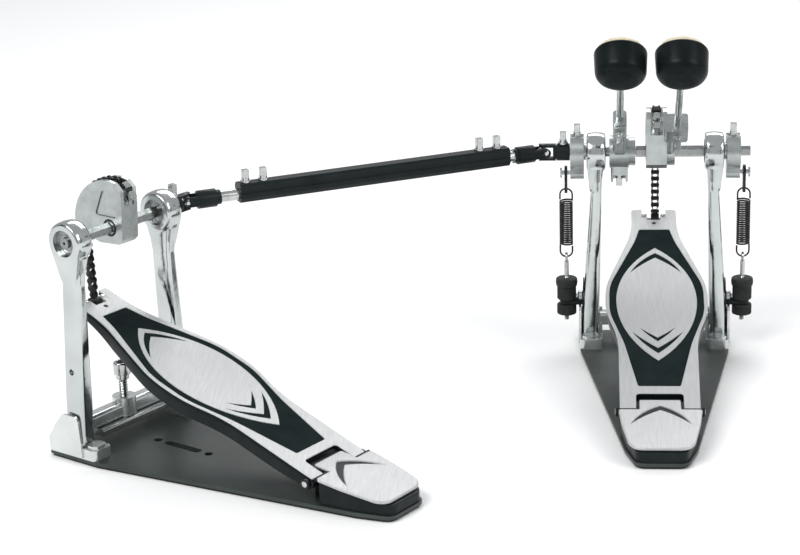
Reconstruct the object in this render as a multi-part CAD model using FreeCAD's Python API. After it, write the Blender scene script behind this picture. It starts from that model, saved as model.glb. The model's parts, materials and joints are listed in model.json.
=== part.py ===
import FreeCAD, Part

import math
import os

from FreeCAD import Placement, Rotation, Vector

os.makedirs("parts", exist_ok=True)

# Twin bass drum pedal.  Two like pedals, a primary and a secondary, joined by a drive shaft.
# Millimetres.  +X is the player's right, +Y points at the drum and +Z is up.
# The origin is on the floor, below the middle of the primary pedal's axle.

# ---------------------------------------------------------------- driving dimensions
AXLE_Z = 185.0            # height of both axles
HEAD_X = 52.5             # middle of a post head, either side of the pedal's middle
HEAD_R = 17.5
HEAD_W = 16.0
FOOT_X = 58.3             # middle of a post where it stands on the casting
POST_FOOT_W = 15.6        # a post narrows from its foot
POST_NECK_W = 10.6        # to its neck under the head
POST_D = 20.6

RUBBER_T = 2.0
PLATE_TOP = 5.0
BASE_HALF = 67.0          # half width of the base at the front
BASE_FRONT = 30.0
BASE_REAR = -291.0

HINGE_Y = -219.0          # heel hinge of the footboard
HINGE_Z = 21.0
HINGE_R = 2.5
BOARD_Y = -224.4          # heel end of the footboard's top face
BOARD_Z = 25.2
BOARD_LEAN = 19.7         # slope of the footboard at rest, degrees
BOARD_LEN = 279.5
BOARD_T = 4.0
SKIRT = 14.0

HEX = 9.0                 # across the flats of an axle
JOURNAL_R = 4.5
THIN_HEX = 7.8            # across the flats of an axle's outer end
BEARING_R = 11.0
RUN = 0.05                # radial clearance of a running fit

CAM_X = 1.2               # middle of the drive cam and the chain
CAM_W = 18.4
CAM_R = 39.5
CAM_SLOPE = 50.0          # slope of the groove down the cam's back, degrees
PITCH = 6.35              # chain pitch
PITCH_R = 38.5            # radius at which the chain lies on the cam
WRAP_START = 21.0         # arc angle of the link pin where the hanging run starts, degrees
WRAP_LINKS = 9
STEP = 2 * math.degrees(math.asin(PITCH / 2 / PITCH_R))
TOE = Vector(CAM_X, 33.5, 111.5)   # pin that holds the chain's foot

BEATER_LEAN = 48.0        # how far a beater leans back at rest, degrees
RIGHT_BEATER_X = 18.8
LEFT_BEATER_X = -31.7
ROD_R = 3.2
ROD_LOW = 34.0            # distances from the axle along a beater rod
HEAD_MID = 158.0
BEATER_R = 22.5
BEATER_BACK = 18.0
BEATER_FRONT = 11.0
FELT_PROUD = 6.5

SPRING_X = 79.6           # line of each return spring
HOOK_DROP = 19.0          # hook pin below the axle
SPRING_R = 6.35
SPRING_WIRE = 0.9
COIL_TOP = 140.0
COIL_LOW = 97.6
EYE_Z = 86.2

SHAFT_START_X = -100.0    # universal joint at the primary axle
SHAFT_YAW = 27.7          # angle between the drive shaft and the primary axle, degrees
SHAFT_LEN = 335.5         # between the two universal joints
TUBE_FROM = 36.0
TUBE_TO = 289.0
SHAFT_ROD_R = 4.9
SLAVE_YAW = 58.0          # the secondary pedal is turned this much, degrees
SLAVE_JOINT_X = 83.5      # universal joint on the secondary axle, in that pedal's own frame

X, Y, Z = Vector(1, 0, 0), Vector(0, 1, 0), Vector(0, 0, 1)


# ---------------------------------------------------------------- helpers
def box(x0, x1, y0, y1, z0, z1):
    return Part.makeBox(x1 - x0, y1 - y0, z1 - z0, Vector(x0, y0, z0))


def rod(radius, start, end):
    """A round bar from start to end."""
    along = end - start
    return Part.makeCylinder(radius, along.Length, start, along)


def fuse(*shapes):
    whole = shapes[0].multiFuse(list(shapes[1:])) if len(shapes) > 1 else shapes[0]
    return whole.removeSplitter()


def turned(shape, axis, degrees, about=Vector(0, 0, 0)):
    return shape.transformed(Placement(Vector(), Rotation(axis, degrees), about).toMatrix(), True)


def mirrored(shape):
    """The same shape on the other side of the pedal."""
    return shape.mirror(Vector(0, 0, 0), X)


def rounded_wire(corners, place):
    """A closed outline through (a, b, radius) corners; place turns (a, b) into a point."""
    count = len(corners)
    ends = []
    edges = []
    for i, (a, b, radius) in enumerate(corners):
        here = Vector(a, b, 0)
        before = Vector(*corners[i - 1][:2], 0) - here
        after = Vector(*corners[(i + 1) % count][:2], 0) - here
        half = before.getAngle(after) / 2
        if radius <= 0 or half > math.radians(89.9):
            ends.append((here, here))
            continue
        back = radius / math.tan(half)
        start = here + before.normalize() * back
        end = here + after.normalize() * back
        inward = (before + after).normalize()
        middle = here + inward * (radius / math.sin(half) - radius)
        edges.append((i, Part.Arc(place(start), place(middle), place(end)).toShape()))
        ends.append((start, end))
    for i in range(count):
        start, end = ends[i][1], ends[(i + 1) % count][0]
        if (end - start).Length > 1e-6:
            edges.append((i + 0.5, Part.makeLine(place(start), place(end))))
    return Part.Wire([edge for _, edge in sorted(edges, key=lambda item: item[0])])


def slab(corners, z0, z1):
    """An outline in x and y, thickened from z0 to z1."""
    wire = rounded_wire(corners, lambda p: Vector(p.x, p.y, z0))
    return Part.Face(wire).extrude(Vector(0, 0, z1 - z0))


def cheek(corners, x0, x1):
    """An outline in y and z, thickened from x0 to x1."""
    wire = rounded_wire(corners, lambda p: Vector(x0, p.x, p.y))
    return Part.Face(wire).extrude(Vector(x1 - x0, 0, 0))


def symmetric(right_side):
    """The corners of the right half, from one end to the other, with their mirror images."""
    return right_side + [(-a, b, radius) for a, b, radius in reversed(right_side)]


def rectangle(half_x, half_y, radius, mid_x=0.0, mid_y=0.0):
    return [(mid_x + sx * half_x, mid_y + sy * half_y, radius)
            for sx, sy in ((1, -1), (1, 1), (-1, 1), (-1, -1))]


def hex_bar(flats, x0, x1):
    """A hexagonal bar on the axle line."""
    corner = flats / math.sqrt(3)
    points = [Vector(x0, corner * math.sin(math.radians(60 * i)),
                     AXLE_Z + corner * math.cos(math.radians(60 * i))) for i in range(6)]
    return Part.Face(Part.makePolygon(points + points[:1])).extrude(Vector(x1 - x0, 0, 0))


def axle_bar(radius, x0, x1):
    return rod(radius, Vector(x0, 0, AXLE_Z), Vector(x1, 0, AXLE_Z))


def lean(shape):
    """Lean something built upright over the axle back to the beaters' rest angle."""
    return turned(shape, X, BEATER_LEAN, Vector(0, 0, AXLE_Z))


def key_bolt(grip):
    """A drum-key screw along +Z: its shank goes grip below the origin, its square head above."""
    shank = rod(2.4, Vector(0, 0, -grip), Vector(0, 0, 0))
    flange = rod(4.6, Vector(0, 0, 0), Vector(0, 0, 1.6))
    collar = rod(3.4, Vector(0, 0, 1.6), Vector(0, 0, 4.0))
    head = slab(rectangle(2.8, 2.8, 0.5), 4.0, 11.0)
    return fuse(shank, flange, collar, head)


def save(name, *shapes):
    """Write one sub-part; several shapes are separate solids of the same node."""
    shape = shapes[0] if len(shapes) == 1 else Part.makeCompound(list(shapes))
    for solid in shape.Solids:
        if not solid.isValid():
            print("not valid:", name)
    print(f"{name:30s} solids {len(shape.Solids):2d}  volume {shape.Volume / 1000:8.2f} cm3")
    shape.exportStep(f"parts/{name}.step")


# ---------------------------------------------------------------- frame of a pedal
def base_outline(inset):
    front = BASE_FRONT - inset
    half = BASE_HALF - inset
    return symmetric([(21 - inset, BASE_REAR + inset, 9), (29.5 - inset, -262, 40),
                      (half, -24, 14), (half, front, 4)])


def base_openings():
    """The slot and the two round holes along the middle of the base."""
    slot = slab(rectangle(3.6, 19, 3.5, -2.5, -61), -5, 10)
    holes = [rod(3.4, Vector(-2.5, y, -5), Vector(-2.5, y, 10)) for y in (-33, -89)]
    return Part.makeCompound([slot] + holes)


def base_rubber():
    return slab(base_outline(1.5), 0, RUBBER_T).cut(base_openings())


def base_plate():
    return slab(base_outline(0), RUBBER_T, PLATE_TOP).cut(base_openings())


def frame_casting():
    parts = []
    for side in (1, -1):
        pad = slab(rectangle(10, 27, 4, side * 57, 3), PLATE_TOP, 14)
        toe = slab(rectangle(7, 6, 4, side * 58, -17), 14, 17)
        web = cheek([(10.6, 12, 0), (28, 12, 2), (28, 17, 3), (15, 34, 3), (10.6, 34, 0)],
                    min(side * 47, side * 67), max(side * 47, side * 67))
        wall = cheek([(-10, 6, 0), (24, 6, 0), (20, 28, 6), (9, 41, 5), (-8, 41, 5), (-10, 20, 8)],
                     min(side * 66.3, side * 68.5), max(side * 66.3, side * 68.5))
        parts += [pad, toe, web, wall]
    beam = cheek([(0, 20.2, 1.5), (13, 20.2, 0), (13, 32, 3), (0, 32, 3)], -49.4, 49.4)
    lobe = rod(10, Vector(0, 6, 20.2), Vector(0, 6, 36))
    body = fuse(beam, lobe, *parts)
    return body.cut(rod(4 + RUN, Vector(0, 6, 0), Vector(0, 6, 60)))


def post(side):
    """Posts splay outwards towards the floor; the head carries the axle's bearing."""
    neck_z, foot_z = 150.0, 14.2

    def section(z, half_x, half_y):
        share = max(0.0, (neck_z - z) / (neck_z - foot_z))
        middle = side * (HEAD_X + (FOOT_X - HEAD_X) * share)
        corners = rectangle(half_x, half_y, 3.6, middle, 0)
        return rounded_wire(corners, lambda p: Vector(p.x, p.y, z))

    foot, neck, half_d = POST_FOOT_W / 2, POST_NECK_W / 2, POST_D / 2
    levels = [(foot_z, foot, half_d), (55, foot, half_d), (110, 6.4, half_d), (neck_z, neck, half_d),
              (162, neck + 0.6, 11.5), (172, 7.2, 14.5)]
    column = Part.makeLoft([section(*level) for level in levels], True, True)
    x0 = side * HEAD_X - HEAD_W / 2
    head = axle_bar(HEAD_R, x0, x0 + HEAD_W)
    rim = axle_bar(HEAD_R - 3.0, x0 - 0.6, x0 + HEAD_W + 0.6)
    bore = axle_bar(BEARING_R, x0 - 5, x0 + HEAD_W + 5)
    hole = rod(2.6, Vector(side * 66, 0, 77), Vector(side * 56, 0, 77))
    return fuse(column, head, rim).cut(bore).cut(hole)


def bearing(mid_x):
    """A sealed ball bearing seen as two races with a shield between them."""
    races = axle_bar(BEARING_R, mid_x - 4.5, mid_x + 4.5).cut(
        axle_bar(8.8, mid_x - 5, mid_x + 5))
    inner = axle_bar(6.6, mid_x - 4.5, mid_x + 4.5)
    shield = axle_bar(9, mid_x - 3.9, mid_x + 3.9)
    return fuse(races, inner, shield).cut(axle_bar(JOURNAL_R + RUN, mid_x - 9, mid_x + 9))


def heel_slope(y):
    return 24.5 + (y + 226.5) * 0.18


def heel_block():
    outline = symmetric([(20, BASE_REAR + 1, 10), (27.5, -262, 40), (32.5, -228, 3)])
    block = slab(outline, PLATE_TOP, 40)
    front, rear = -200, -300
    above = cheek([(front, heel_slope(front), 0), (front, 60, 0), (rear, 60, 0),
                   (rear, heel_slope(rear), 0)], -60, 60)
    block = block.cut(above)
    lug = fuse(rod(5.5, Vector(-18.5, HINGE_Y, HINGE_Z), Vector(18.5, HINGE_Y, HINGE_Z)),
               box(-18.5, 18.5, -230, -214, PLATE_TOP, HINGE_Z))
    pin_hole = rod(HINGE_R, Vector(-60, HINGE_Y, HINGE_Z), Vector(60, HINGE_Y, HINGE_Z))
    return fuse(block, lug).cut(pin_hole)


def heel_plate():
    outline = symmetric([(25, -287, 13), (32, -250, 40), (34.5, -226.5, 3)])
    band = cheek([(-226.5, heel_slope(-226.5), 0), (-226.5, heel_slope(-226.5) + 3.2, 1.4),
                  (-290, heel_slope(-290) + 3.2, 0), (-290, heel_slope(-290), 0)], -60, 60)
    plate = slab(outline, 5, 40).common(band)
    tongue = cheek([(-229, 26.7, 0), (-213, 26.7, 0), (-213, 28.4, 1), (-219, 29.2, 3),
                    (-229, 27.2, 0)], -17, 17)
    return fuse(plate, tongue)


def hinge_pin():
    ends = (34.2, 36.6)
    pin = rod(HINGE_R, Vector(-ends[1], HINGE_Y, HINGE_Z), Vector(ends[1], HINGE_Y, HINGE_Z))
    heads = [rod(4.2, Vector(side * ends[0], HINGE_Y, HINGE_Z), Vector(side * ends[1], HINGE_Y, HINGE_Z))
             for side in (1, -1)]
    return fuse(pin, *heads)


def clamp_jaw():
    """The plate that presses the drum's hoop against the base plate."""
    jaw = cheek([(-6, 13.6, 1), (36, 13.6, 1), (36, 15.4, 0.8), (24, 19.8, 3), (-6, 19.8, 2)], -38, 38)
    return jaw.cut(rod(4, Vector(0, 6, 0), Vector(0, 6, 60)))


def clamp_bolt():
    shank = rod(4, Vector(0, 6, 13.6), Vector(0, 6, 57))
    head = rod(7.2, Vector(0, 6, 55), Vector(0, 6, 66))
    collar = rod(5.6, Vector(0, 6, 51), Vector(0, 6, 55))
    socket = slab(rectangle(2.6, 2.6, 0.4, 0, 6), 60, 67)
    return fuse(shank, head, collar).cut(socket)


# ---------------------------------------------------------------- footboard and its chain
def board_outline(inset):
    return symmetric([(33 - inset, 0, 2), (33.5 - inset, 92, 120), (44.4 - inset, 129, 100),
                      (44.4 - inset, 165, 100), (20.3 - inset, 244, 120), (20.3 - inset, BOARD_LEN, 3)])


def footboard():
    """The plate and a skirt along each side, as separate solids: built flat, then tilted up."""
    top = slab(board_outline(0), -BOARD_T, 0)
    knuckles = [rod(5.6, Vector(side * 21, 3.7, -5.8), Vector(side * 33, 3.7, -5.8)) for side in (1, -1)]
    ties = [box(min(side * 29, side * 33), max(side * 29, side * 33), 3.7, 12, -11, -2)
            for side in (1, -1)]
    heel_gap = slab(rectangle(19.5, 12.5, 2, 0, 7.5), -30, 5)
    toe_gap = slab(rectangle(11, 11, 2, 0, 275), -30, 5)
    bridge = [box(min(side * 11, side * 17.5), max(side * 11, side * 17.5), 264, 276, -11, -BOARD_T)
              for side in (1, -1)]
    plate = fuse(top, *knuckles, *ties, *bridge).cut(Part.makeCompound([heel_gap, toe_gap]))
    plate = plate.cut(rod(HINGE_R + RUN, Vector(-60, 3.7, -5.8), Vector(60, 3.7, -5.8)))
    wall = slab(board_outline(1.2), -SKIRT, -BOARD_T).cut(slab(board_outline(4.4), -30, 5))
    skirts = [wall.common(box(min(0, side * 60), max(0, side * 60), 12, 264, -30, 10)) for side in (1, -1)]
    solids = [turned(shape, X, BOARD_LEAN).translated(Vector(0, BOARD_Y, BOARD_Z))
              for shape in [plate] + skirts]
    return [solids[0].cut(rod(2, TOE - X * 30, TOE + X * 30))] + solids[1:]


def toe_pin():
    """The cross pin in the toe's notch that the chain's clevis hangs on."""
    return rod(2, Vector(-17.5, TOE.y, TOE.z), Vector(17.5, TOE.y, TOE.z))


def link(start, end, outer):
    """One chain link: two side plates on its pins, which are as wide as the outer plates."""
    along = (end - start)
    radius = 2.85
    mid = 2.9 if outer else 1.95
    turn = math.degrees(math.atan2(along.z, along.y))
    plates = []
    for side in (1, -1):
        plate = cheek([(-radius, -radius, 2.6), (along.Length + radius, -radius, 2.6),
                       (along.Length + radius, radius, 2.6), (-radius, radius, 2.6)], -0.4, 0.4)
        plate = turned(plate, X, turn).translated(start + X * (side * mid))
        plates.append(plate)
    return plates


def chain_run(points, first_outer):
    """A run of roller chain through its pin centres."""
    pieces = []
    for i in range(len(points) - 1):
        pieces += link(points[i], points[i + 1], (i % 2 == 0) == first_outer)
    for point in points:
        pieces.append(rod(1.65, point - X * 3.5, point + X * 3.5))
    return fuse(*pieces)


def on_cam(degrees):
    angle = math.radians(degrees)
    return Vector(CAM_X, PITCH_R * math.cos(angle), AXLE_Z + PITCH_R * math.sin(angle))


def chain_wrap():
    """The run that lies on the cam and is held to its top."""
    return chain_run([on_cam(WRAP_START + STEP * i) for i in range(WRAP_LINKS)], True)


def chain_drop():
    """The run from the last pin of the wrapped one down to the toe, with its clevis."""
    lay = [on_cam(WRAP_START - STEP * i) for i in range(3)]
    clevis_top = Vector(CAM_X, TOE.y, TOE.z) + (lay[-1] - TOE).normalize() * 8
    count = round((lay[-1] - clevis_top).Length / PITCH)
    hang = [lay[-1] + (clevis_top - lay[-1]) * (i / count) for i in range(1, count + 1)]
    run = chain_run(lay + hang, False)
    shared_pin = rod(1.65 + RUN, lay[0] - X * 6, lay[0] + X * 6)
    eye = rod(6.0, Vector(CAM_X - 3.6, TOE.y, TOE.z), Vector(CAM_X + 3.6, TOE.y, TOE.z))
    neck = rod(3.0, clevis_top, TOE + (clevis_top - TOE).normalize() * 5.4)
    clevis = fuse(eye, neck).cut(rod(4.4, TOE - X * 9, TOE + X * 9))
    return fuse(run.cut(shared_pin), clevis)


def drive_cam(axle):
    """A D-shaped cam: the chain lies in its groove over the top and the drum side."""
    low, high = math.radians(-9), math.radians(92)
    arc = Part.Arc(*[Vector(0, CAM_R * math.cos(a), CAM_R * math.sin(a))
                     for a in (low, (low + high) / 2, high)])
    end = Vector(0, CAM_R * math.cos(high), CAM_R * math.sin(high))
    start = Vector(0, CAM_R * math.cos(low), CAM_R * math.sin(low))
    back = [end, Vector(0, -8.5, 38.2), Vector(0, -14.5, 33), Vector(0, -15, 20), Vector(0, -13.5, -9),
            Vector(0, -9.5, -13), Vector(0, 12, -14), start]
    lines = [Part.makeLine(a, b) for a, b in zip(back, back[1:])]
    face = Part.Face(Part.Wire([arc.toShape()] + lines))
    body = face.extrude(X * CAM_W).translated(Vector(CAM_X - CAM_W / 2, 0, AXLE_Z))
    groove = axle_bar(60, CAM_X - 4.2, CAM_X + 4.2).cut(axle_bar(34.9, CAM_X - 5, CAM_X + 5))
    groove = groove.common(box(-20, 20, -11.5, 60, AXLE_Z - 12, AXLE_Z + 60))
    tail, foot = cam_slope(-2), cam_slope(26)
    back_groove = cheek([(tail.y, tail.z, 0), (foot.y, foot.z, 0), (foot.y, tail.z + 12, 0),
                         (tail.y, tail.z + 12, 0)], CAM_X - 5.4, CAM_X + 5.4)
    teeth = []
    for i in range(-2, WRAP_LINKS - 1):
        angle = WRAP_START + STEP * (i + 0.5)
        tooth = slab(rectangle(1.2, 0.9, 0.3, CAM_X, 0), AXLE_Z + 34, AXLE_Z + 37.8)
        teeth.append(turned(tooth, X, angle - 90, Vector(0, 0, AXLE_Z)))
    panel = [(-8, 9, 2), (-10, 31, 3), (6, 31, 3), (16, 9, 2)]
    recesses = [cheek([(a, AXLE_Z + b, r) for a, b, r in panel], CAM_X + x, CAM_X + x + 2.4)
                for x in (-CAM_W / 2 - 1.2, CAM_W / 2 - 1.2)]
    bosses = [axle_bar(7.4, CAM_X + x, CAM_X + x + 3) for x in (-CAM_W / 2 - 0.01, CAM_W / 2 - 2.99)]
    cam = fuse(body.cut(groove), *teeth).cut(back_groove)
    cam = cam.cut(Part.makeCompound(recesses + bosses)).cut(axle)
    return cam.cut(Part.makeCompound(chain_end_screws()))


def cam_bushes(axle):
    """The dark ring round the axle in each face of the cam."""
    rings = []
    for x in (-CAM_W / 2, CAM_W / 2 - 3):
        rings.append(axle_bar(7.3, CAM_X + x, CAM_X + x + 3).cut(axle))
    return rings


def cam_slope(along):
    """A point on the floor of the cam's back groove, so far down from its upper end."""
    angle = math.radians(CAM_SLOPE)
    return Vector(CAM_X, -1 - along * math.cos(angle), AXLE_Z + 35 - along * math.sin(angle))


def chain_end_screws():
    """The two drum-key screws, one behind the other, that pinch the chain's end."""
    return [turned(key_bolt(3), X, CAM_SLOPE).translated(cam_slope(along)) for along in (7.2, 16.8)]


# ---------------------------------------------------------------- axles
def primary_axle():
    return fuse(axle_bar(3, -31, -17), hex_bar(HEX, -17, 43), axle_bar(JOURNAL_R, 43, 62),
                hex_bar(THIN_HEX, 62, 84.6))


def stub_axle():
    return fuse(axle_bar(JOURNAL_R, -62, -33), hex_bar(THIN_HEX, -86.5, -62))


def secondary_axle():
    bar = fuse(hex_bar(HEX, -43, 43), axle_bar(JOURNAL_R, -59.5, -43), axle_bar(JOURNAL_R, 43, 73))
    centre_mark = axle_bar(1.3, -61, -57)
    return bar.cut(centre_mark)


def bored(body, rod_x, top, width):
    """Bore a holder for the beater's rod and its screw, and hollow out its face."""
    bore = rod(ROD_R + RUN, Vector(rod_x, 0, AXLE_Z + 17), Vector(rod_x, 0, AXLE_Z + 90))
    hollow = slab(rectangle(width / 2 - 2.2, 4, 1.5, rod_x, 9), AXLE_Z + 18, AXLE_Z + 32)
    screw_hole = rod(2.4, Vector(rod_x, -9.5, AXLE_Z + top - 10), Vector(rod_x, 0, AXLE_Z + top - 10))
    return body.cut(Part.makeCompound([bore, hollow, screw_hole]))


def right_beater_holder(axle, top):
    """A ring on the axle, a flat arm and a block at its end that grips the rod."""
    hub = axle_bar(12.6, 10.6, 17.4)
    arm = slab(rectangle(2.3, 8, 1.5, 12.9, 0), AXLE_Z + 6, AXLE_Z + 38)
    block = slab(rectangle(10.2, 9, 2.5, 17.6, 0), AXLE_Z + top - 20, AXLE_Z + top)
    return lean(bored(fuse(hub, arm, block), RIGHT_BEATER_X, top, 9)).cut(axle)


def left_beater_holder(axle, top):
    """A wide hub with an upright arm for the rod and a stub below for its clamp screw."""
    width = 12.0
    hub = axle_bar(14.5, -40.6, -23.3)
    arm = slab(rectangle(width / 2, 9, 3, LEFT_BEATER_X, 0), AXLE_Z + 6, AXLE_Z + top)
    crown = slab(rectangle(width / 2 - 1.2, 7, 2.5, LEFT_BEATER_X, 0), AXLE_Z + top, AXLE_Z + top + 2.2)
    upper = lean(bored(fuse(arm, crown), LEFT_BEATER_X, top, width))
    stub = slab(rectangle(7.6, 8, 2.5, LEFT_BEATER_X, 0), AXLE_Z - 26, AXLE_Z)
    recess = fuse(rod(5.6, Vector(LEFT_BEATER_X, 0, AXLE_Z - 27), Vector(LEFT_BEATER_X, 0, AXLE_Z - 20)),
                  box(LEFT_BEATER_X - 5.6, LEFT_BEATER_X + 5.6, -9, 0, AXLE_Z - 27, AXLE_Z - 20))
    screw_hole = rod(2.4, Vector(LEFT_BEATER_X, 0, AXLE_Z - 21), Vector(LEFT_BEATER_X, 0, AXLE_Z - 15))
    return fuse(hub, upper, stub).cut(Part.makeCompound([recess, screw_hole])).cut(axle)


def holder_screw(rod_x, top):
    screw = turned(key_bolt(5.2), X, 90).translated(Vector(rod_x, -9, AXLE_Z + top - 10))
    return lean(screw)


def beater_rod(rod_x):
    bar = rod(ROD_R, Vector(rod_x, 0, AXLE_Z + ROD_LOW), Vector(rod_x, 0, AXLE_Z + HEAD_MID + 15))
    return lean(bar)


def beater_head(rod_x):
    """The hard shell: a short drum whose axis is the strike direction, rounded at the back."""
    back, front = -BEATER_BACK, BEATER_FRONT
    profile = [(0, back, 0), (BEATER_R - 1, back, 11), (BEATER_R, front, 3.5), (0, front, 0)]
    wire = rounded_wire(profile, lambda p: Vector(p.x, p.y, 0))
    shell = Part.Face(wire).revolve(Vector(0, 0, 0), Y, 360)
    shell = shell.cut(rod(BEATER_R - 4, Vector(0, front - 8, 0), Vector(0, front + 1, 0)))
    shell = shell.translated(Vector(rod_x, 0, AXLE_Z + HEAD_MID))
    return lean(shell).cut(beater_rod(rod_x))


def beater_felt(rod_x):
    """The felt pad that sits in the shell and meets the drum."""
    radius = BEATER_R - 4
    profile = [(0, BEATER_FRONT - 8, 0), (radius, BEATER_FRONT - 8, 1),
               (radius, BEATER_FRONT + FELT_PROUD, 5), (0, BEATER_FRONT + FELT_PROUD, 0)]
    wire = rounded_wire(profile, lambda p: Vector(p.x, p.y, 0))
    pad = Part.Face(wire).revolve(Vector(0, 0, 0), Y, 360)
    pad = pad.translated(Vector(rod_x, 0, AXLE_Z + HEAD_MID))
    return lean(pad).cut(beater_rod(rod_x))


def axle_bush():
    """The flanged bush in the left holder that carries the free end of the primary axle."""
    bush = fuse(axle_bar(12.5, -23.3, -17.5), axle_bar(5.5, -31.5, -23.3))
    return bush.cut(axle_bar(3 + RUN, -33, -10))


# ---------------------------------------------------------------- springs
def spring_cam(axle):
    """Built on the right: a pear-shaped cam with the hook pin at its foot."""
    hook_z = AXLE_Z - HOOK_DROP
    pear = fuse(axle_bar(16.2, 63.4, 75.5),
                rod(6, Vector(63.4, 0, hook_z), Vector(75.5, 0, hook_z)),
                cheek([(-16, AXLE_Z - 2, 0), (-6, hook_z, 0), (6, hook_z, 0), (16, AXLE_Z - 2, 0)],
                      63.4, 75.5))
    boss = axle_bar(7.4, 61.5, 63.4)
    pin = fuse(rod(2, Vector(75.5, 0, hook_z), Vector(84.8, 0, hook_z)),
               rod(4.8, Vector(83.2, 0, hook_z), Vector(84.8, 0, hook_z)))
    split = box(60, 78, -0.8, 0.8, AXLE_Z + 3, AXLE_Z + 20)
    seat = slab(rectangle(8, 5.2, 1, 69.4, 0), AXLE_Z + 14.6, AXLE_Z + 20)
    screw_hole = rod(2.4, Vector(69.4, 0, AXLE_Z + 9), Vector(69.4, 0, AXLE_Z + 20))
    return fuse(pear, boss, pin).cut(Part.makeCompound([split, seat, screw_hole])).cut(axle)


def spring_cam_screw():
    return key_bolt(5).translated(Vector(69.4, 0, AXLE_Z + 14.6))


def spring_link():
    """The flat link between the cam's hook pin and the spring's top loop."""
    hook_z = AXLE_Z - HOOK_DROP
    top = rod(6.2, Vector(SPRING_X - 1.3, 0, hook_z), Vector(SPRING_X + 1.3, 0, hook_z))
    strap = cheek([(-3.4, 147, 2.5), (3.4, 147, 2.5), (4.6, hook_z, 0), (-4.6, hook_z, 0)],
                  SPRING_X - 1.3, SPRING_X + 1.3)
    eye = rod(4.1, Vector(SPRING_X - 3, 0, hook_z), Vector(SPRING_X + 3, 0, hook_z))
    low_eye = rod(1.9, Vector(SPRING_X - 3, 0, 150.4), Vector(SPRING_X + 3, 0, 150.4))
    return fuse(top, strap).cut(Part.makeCompound([eye, low_eye]))


def spring():
    """The closed envelope of the coil with a loop at each end."""
    coil = rod(SPRING_R, Vector(SPRING_X, 0, COIL_LOW), Vector(SPRING_X, 0, COIL_TOP)).cut(
        rod(SPRING_R - 2 * SPRING_WIRE, Vector(SPRING_X, 0, COIL_LOW + 1.5),
            Vector(SPRING_X, 0, COIL_TOP - 1.5)))
    loops = [Part.makeTorus(4.4, SPRING_WIRE, Vector(SPRING_X, 0, z), Y) for z in (146.0, 91.4)]
    stubs = [rod(SPRING_WIRE, Vector(SPRING_X, 0, a), Vector(SPRING_X, 0, b))
             for a, b in ((COIL_TOP - 0.5, 142), (95.4, COIL_LOW + 0.5))]
    return fuse(coil, *loops, *stubs)


def eye_rod():
    eye = Part.makeTorus(3.7, 1.2, Vector(SPRING_X, 0, EYE_Z), X)
    return fuse(eye, rod(2.2, Vector(SPRING_X, 0, 26), Vector(SPRING_X, 0, EYE_Z - 3)))


def tension_nuts(bar):
    """The knurled knob above the bracket and the round nut below it."""
    knob = fuse(rod(10, Vector(SPRING_X, 0, 58), Vector(SPRING_X, 0, 66.5)),
                rod(8.6, Vector(SPRING_X, 0, 46), Vector(SPRING_X, 0, 58)))
    nut = rod(8.9, Vector(SPRING_X, 0, 32), Vector(SPRING_X, 0, 41.6))
    return [knob.cut(bar), nut.cut(bar)]


def spring_bracket():
    """The arm that stands out from the post and takes the eye rod."""
    arm = slab([(65.1, -6, 2), (86, -6, 5), (86, 6, 5), (65.1, 6, 2)], 41.8, 45.8)
    boss = rod(5, Vector(64.95, 0, 48.6), Vector(69.5, 0, 48.6))
    hole = rod(2.5, Vector(SPRING_X, 0, 30), Vector(SPRING_X, 0, 60))
    return fuse(arm, boss).cut(hole)


# ---------------------------------------------------------------- drive shaft
def yoke(pin_axis, hole_r, hub_from, hub_to, hub_r):
    """A fork round a joint centred on the origin, with its hub towards +X."""
    other = Y if pin_axis is Z else Z
    half = 3.8 if pin_axis is Z else 4.3
    pieces = [rod(6.2, Vector(9, 0, 0), Vector(hub_from + 0.5, 0, 0)),
              rod(hub_r, Vector(hub_from, 0, 0), Vector(hub_to, 0, 0))]
    for side in (1, -1):
        inner, outer = pin_axis * (side * 4.9), pin_axis * (side * 7.6)
        ear = rod(half, inner, outer)
        strap_low = inner - other * half
        corners = [strap_low, strap_low + X * 11.5, inner + other * half + X * 11.5,
                   inner + other * half]
        strap = Part.Face(Part.makePolygon(corners + corners[:1])).extrude(outer - inner)
        pieces += [ear, strap]
    keep = rod(7.8, Vector(-8, 0, 0), Vector(hub_to, 0, 0))
    body = fuse(*pieces).common(keep)
    return body.cut(rod(hole_r, pin_axis * -9, pin_axis * 9))


def joint_cross(bend):
    """The block with four trunnions; the second pair is square to the shaft."""
    block = slab(rectangle(3.2, 3.2, 0.8), -3.4, 3.4)
    block = turned(block, Z, bend)
    across = Vector(-math.sin(math.radians(bend)), math.cos(math.radians(bend)), 0)
    return fuse(block, rod(1.6, Z * -7.5, Z * 7.5), rod(1.6, across * -7.3, across * 7.3))


def to_shaft(shape):
    """From the shaft's own frame, +X towards the secondary pedal, to the pedals' frame."""
    placed = turned(shape, Z, 180 + SHAFT_YAW)
    return placed.translated(Vector(SHAFT_START_X, 0, AXLE_Z))


def shaft_fork(length):
    """The shaft's fork with its thick collar and round bar."""
    fork = yoke(Y, 3.1, 10, 26, 7.8)
    ring = rod(6.3, Vector(26, 0, 0), Vector(30, 0, 0))
    return fork, fuse(ring, rod(SHAFT_ROD_R, Vector(25.9, 0, 0), Vector(length, 0, 0)))


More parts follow.
